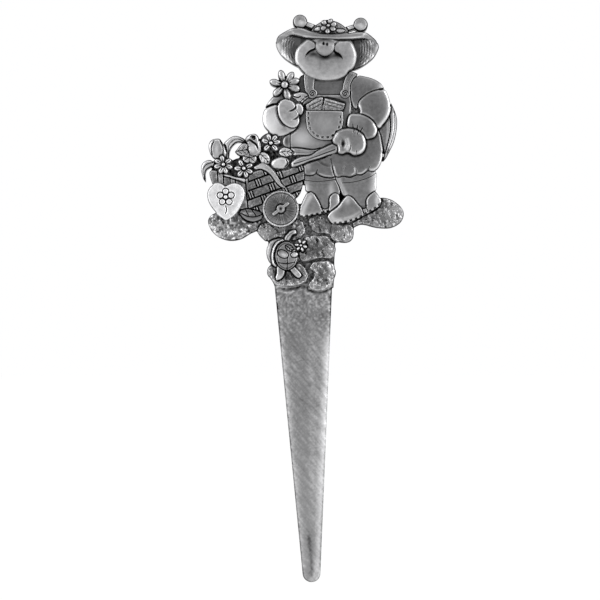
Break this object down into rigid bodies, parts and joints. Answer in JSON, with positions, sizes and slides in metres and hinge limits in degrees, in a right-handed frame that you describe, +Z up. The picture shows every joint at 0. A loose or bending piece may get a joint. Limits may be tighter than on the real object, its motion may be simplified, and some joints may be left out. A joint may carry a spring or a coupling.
{
  "type": "decorative garden stake",
  "caption": "Flat-backed cast pewter plant stake: a relief of an insect gardener with a flower cart on a stone path, above a long tapered blade that pushes into the soil.",
  "frame": {"origin": "on the flat back face, where the blade meets the soil, below the middle of the relief", "axes": "+Z up along the blade towards the hat, the relief faces -Y, +X to the viewer's right from the front"},
  "size_m": [0.0676, 0.0072, 0.1896],
  "materials": {
    "pewter": "cast pewter with dark creases and worn bright edges",
    "pewter_antiqued": "cast pewter, darkened all over and rubbed bright on its high spots",
    "pewter_polished": "cast pewter, buffed smooth"
  },
  "bodies": {
    "root": {"stake_plate": "pewter", "stone_left": "pewter_antiqued", "stone_under_wheel": "pewter_antiqued", "stone_under_left_shoe": "pewter_antiqued", "stone_under_right_shoe": "pewter_antiqued", "stone_right": "pewter_antiqued", "stone_middle": "pewter_antiqued", "stone_low_right": "pewter_antiqued", "stone_low_left": "pewter_antiqued", "wing_case": "pewter_antiqued", "shirt": "pewter", "trouser_left": "pewter", "trouser_right": "pewter", "thigh_left": "pewter", "hip_right": "pewter", "shoe_left": "pewter", "shoe_right": "pewter", "bib": "pewter", "strap_left": "pewter", "strap_right": "pewter", "seed_packets": "pewter", "pocket": "pewter", "basket": "pewter_antiqued", "basket_foot": "pewter_antiqued", "wheel": "pewter_antiqued", "wheel_hub": "pewter", "heart_sign": "pewter_polished", "handle_far": "pewter", "handle_near": "pewter", "sleeve_left": "pewter", "forearm_left": "pewter", "fist_left": "pewter", "sleeve_right": "pewter", "upper_arm_right": "pewter", "cuff_right": "pewter", "fist_right": "pewter", "hat_brim": "pewter_antiqued", "head": "pewter", "nose": "pewter", "feeler_left": "pewter", "feeler_right": "pewter", "hat_crown": "pewter", "hat_roll": "pewter", "hat_flower": "pewter", "bug_feeler": "pewter", "bug_shell": "pewter_antiqued", "bug_body": "pewter", "bug_flower": "pewter", "drooping_leaf": "pewter", "leaf_right": "pewter_antiqued", "arched_leaf": "pewter", "rosebud": "pewter", "tulip_bud": "pewter", "egg_bud": "pewter", "ribbon_leaf": "pewter", "daisy_left": "pewter", "daisy_front": "pewter", "daisy_back": "pewter", "held_leaf": "pewter", "held_daisy": "pewter"}
  },
  "joints": []
}
